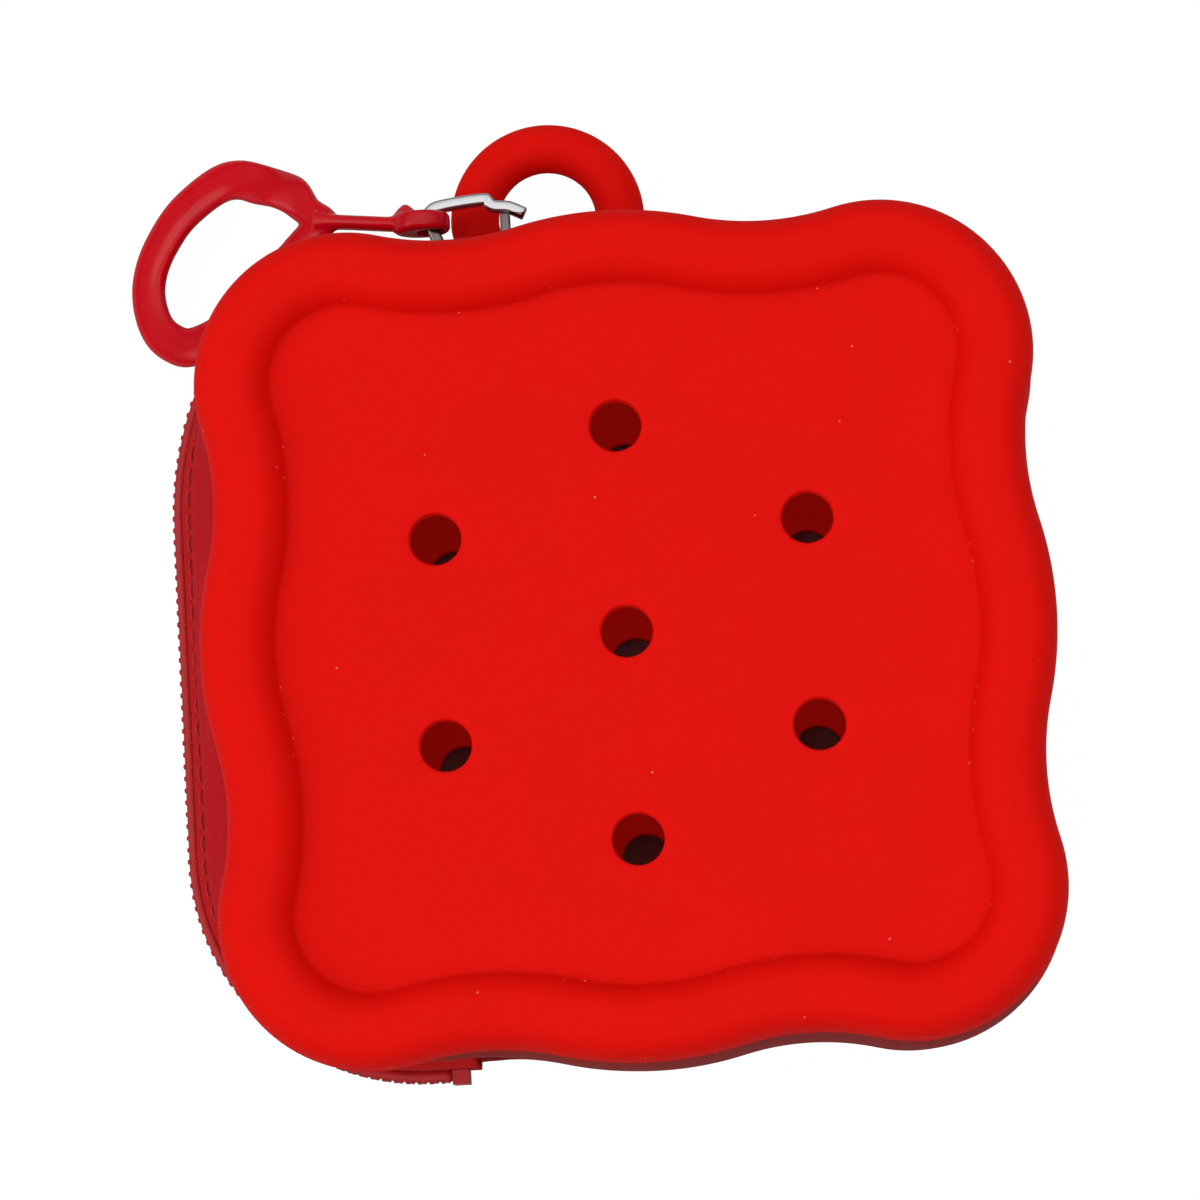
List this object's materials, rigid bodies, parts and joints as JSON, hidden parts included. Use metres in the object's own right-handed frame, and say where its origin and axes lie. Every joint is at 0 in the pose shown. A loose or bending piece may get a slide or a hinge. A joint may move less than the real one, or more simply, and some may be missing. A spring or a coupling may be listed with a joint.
{
  "type": "zip coin purse",
  "caption": "Square zip purse of moulded silicone with wavy rims, vent holes, a moulded hang ring and a soft loop pull.",
  "frame": {"origin": "centre of the middle vent hole at the rear panel's outer face", "axes": "+Z is the front face's outward normal, up as the purse lies on its back; +Y towards the side with the hang ring; +X away from the zip's long side"},
  "size_m": [0.0933, 0.0984, 0.036],
  "materials": {
    "silicone": "matt moulded silicone",
    "tape": "woven tape",
    "coil": "moulded coil",
    "plated_metal": "bright nickel plate",
    "pull": "glossy soft plastic, slightly clear"
  },
  "bodies": {
    "shell": {"rear_shell": "silicone", "hang_ring": "silicone", "front_shell": "silicone", "rear_tape": "tape", "front_tape_ends": "tape", "rear_coil": "coil", "front_coil_ends": "coil", "rear_top_stop": "plated_metal", "front_top_stop": "plated_metal", "bottom_stop": "coil"},
    "flap": {"front_flap": "silicone", "front_tape": "tape", "front_coil": "coil"},
    "slider": {"slider_body": "plated_metal", "slider_crown": "plated_metal"},
    "pull": {"pull_strap": "pull"}
  },
  "joints": [
    {"name": "flap_hinge", "type": "hinge", "parent": "shell", "child": "flap", "pos_m": [-0.0215, 0, 0.033], "axis": [0, 1, 0], "range_deg": [0, 45], "deforming": ["front_coil"]},
    {"name": "slider_slide", "type": "slide", "parent": "shell", "child": "slider", "axis": [-1, 0, 0], "range_m": [0, 0.008], "deforming": ["rear_coil", "front_coil_ends"]},
    {"name": "strap_swing", "type": "hinge", "parent": "slider", "child": "pull", "pos_m": [-0.018, 0.0448, 0.015], "axis": [0, 1, 0], "range_deg": [0, 30]}
  ]
}
